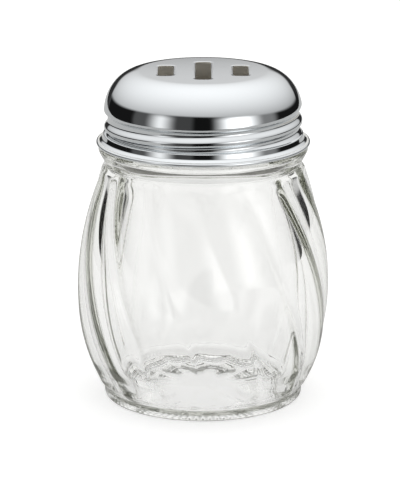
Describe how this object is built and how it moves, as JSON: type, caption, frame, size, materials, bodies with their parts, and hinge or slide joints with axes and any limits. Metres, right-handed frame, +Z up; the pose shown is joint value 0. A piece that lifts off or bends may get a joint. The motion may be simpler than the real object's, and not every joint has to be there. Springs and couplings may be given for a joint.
{
  "type": "parmesan shaker",
  "caption": "Swirl-fluted clear glass table shaker with a domed chrome screw lid; parallel slots in the lid let grated cheese through, and the lid unscrews for filling.",
  "frame": {"origin": "centre of the ring that the jar stands on", "axes": "+Z up along the jar's axis; the front of the picture faces -Y, and the lid's slots run along Y"},
  "size_m": [0.076, 0.076, 0.0998],
  "materials": {
    "clear_glass": "clear, polished, pressed",
    "chrome_plate": "mirror",
    "seal_plastic": "satin white"
  },
  "bodies": {
    "jar": {"glass_jar": "clear_glass"},
    "ring": {"seal_ring": "seal_plastic"},
    "lid": {"screw_lid": "chrome_plate"}
  },
  "joints": [
    {"name": "lid_rise", "type": "slide", "parent": "jar", "child": "ring", "axis": [0, 0, 1], "range_m": [0, 0.01269]},
    {"name": "lid_turn", "type": "hinge", "parent": "ring", "child": "lid", "pos_m": [0, 0, 0.09], "axis": [0, 0, 1], "range_deg": [0, 1080]}
  ],
  "couplings": [
    {"joint": "lid_turn", "follows": "lid_rise", "rad_per_m": 1485.4}
  ]
}
